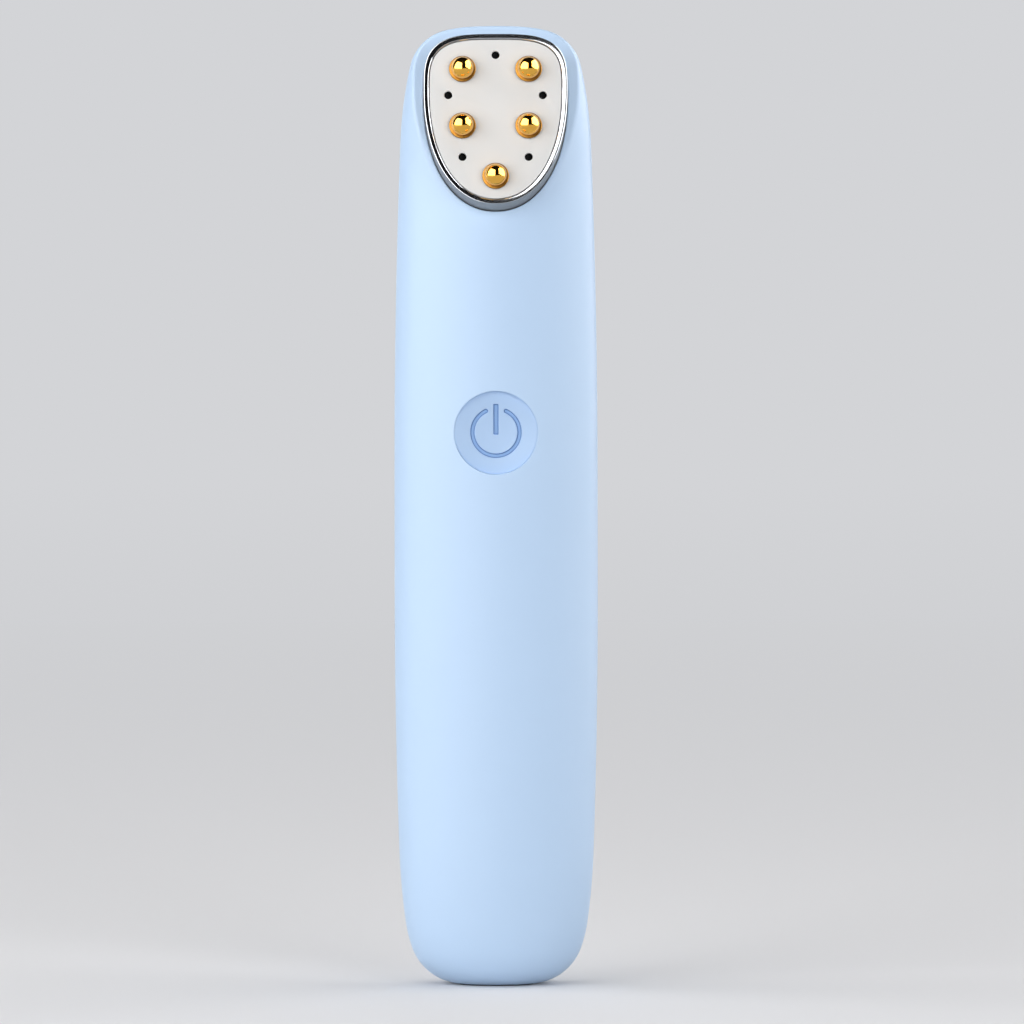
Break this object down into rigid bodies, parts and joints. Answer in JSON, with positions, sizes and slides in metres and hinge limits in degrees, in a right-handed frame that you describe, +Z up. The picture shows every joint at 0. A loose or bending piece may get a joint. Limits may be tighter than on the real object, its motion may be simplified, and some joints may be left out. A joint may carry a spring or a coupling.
{
  "type": "handheld facial massager",
  "caption": "Slim oval facial massager pen with a slanted metal head, gold ball electrodes, light holes and a dished power button.",
  "frame": {"origin": "middle of the flat foot pad's underside, on the pen's long axis", "axes": "+Z up the pen from the foot to the crown, -Y out of the front with the button and the head, +X to the right seen from the front"},
  "size_m": [0.0348, 0.0275, 0.165],
  "materials": {
    "shell_blue": "soft-touch satin, pale blue",
    "button_blue": "soft-touch satin, pale blue",
    "foot_rubber": "matt silicone",
    "bezel_chrome": "polished",
    "plate_satin": "fine satin, pale",
    "electrode_gold": "polished gold plating",
    "nut_gold": "plain brass",
    "white_plastic": "moulded insulator",
    "lens_dark": "dark smoked lens",
    "led_cream": "encapsulated diode",
    "chassis_grey": "moulded frame",
    "screw_steel": "plated screw",
    "motor_steel": "drawn can",
    "weight_metal": "sintered heavy metal",
    "port_metal": "nickel-plated sheet",
    "board_green": "solder mask",
    "dark_plastic": "moulded component",
    "plunger_black": "moulded plunger",
    "ferrite_grey": "ferrite",
    "winding_copper": "enamelled copper",
    "capacitor_blue": "shrink sleeve",
    "connector_cream": "moulded connector",
    "cell_wrap": "heat-shrink wrap",
    "tape_white": "foam tape",
    "lead_red": "insulated wire",
    "lead_black": "insulated wire",
    "lead_blue": "insulated wire",
    "flex_amber": "polyimide film"
  },
  "bodies": {
    "housing": {"front_shell": "shell_blue", "rear_shell": "shell_blue", "foot_pad": "foot_rubber", "head_gasket": "foot_rubber", "head_bezel": "bezel_chrome", "face_plate": "plate_satin", "electrode_1": "electrode_gold", "electrode_2": "electrode_gold", "electrode_3": "electrode_gold", "electrode_4": "electrode_gold", "electrode_5": "electrode_gold", "electrode_nuts": "nut_gold", "head_carrier": "white_plastic", "button_guide": "white_plastic", "electrode_bush_1": "white_plastic", "electrode_bush_2": "white_plastic", "electrode_bush_3": "white_plastic", "electrode_bush_4": "white_plastic", "electrode_bush_5": "white_plastic", "light_lens_1": "lens_dark", "light_lens_2": "lens_dark", "light_lens_3": "lens_dark", "light_lens_4": "lens_dark", "light_lens_5": "lens_dark", "led_1": "led_cream", "led_2": "led_cream", "led_3": "led_cream", "led_4": "led_cream", "led_5": "led_cream", "chassis": "chassis_grey", "base_screw": "screw_steel", "chassis_screws": "screw_steel", "port_screws": "screw_steel", "motor_can": "motor_steel", "port_shell": "port_metal", "main_board": "board_green", "head_board": "board_green", "port_board": "board_green", "controller_chip": "dark_plastic", "tact_switch": "dark_plastic", "port_tongue": "dark_plastic", "boost_inductor": "dark_plastic", "rf_transformer_core": "ferrite_grey", "rf_transformer_winding": "winding_copper", "filter_capacitor": "capacitor_blue", "battery_connector": "connector_cream", "battery_cell": "cell_wrap", "battery_tape": "tape_white", "battery_lead_red": "lead_red", "port_leads": "lead_red", "battery_lead_black": "lead_black", "motor_leads": "lead_blue", "head_flex": "flex_amber"},
    "button": {"power_button": "button_blue"},
    "plunger": {"switch_plunger": "plunger_black"},
    "rotor": {"motor_shaft": "screw_steel", "eccentric_weight": "weight_metal"}
  },
  "joints": [
    {"name": "power_button_press", "type": "slide", "parent": "housing", "child": "button", "axis": [0, 1, 0], "range_m": [0, 0.0005], "stiffness_N_per_m": 1500},
    {"name": "switch_plunger_press", "type": "slide", "parent": "housing", "child": "plunger", "axis": [0, 1, 0], "range_m": [0, 0.0006]},
    {"name": "motor_spin", "type": "hinge", "parent": "housing", "child": "rotor", "pos_m": [0, 0.003, 0.1155], "axis": [0, 0, 1], "continuous": true}
  ],
  "couplings": [
    {"joint": "switch_plunger_press", "follows": "power_button_press", "ratio": 1}
  ]
}
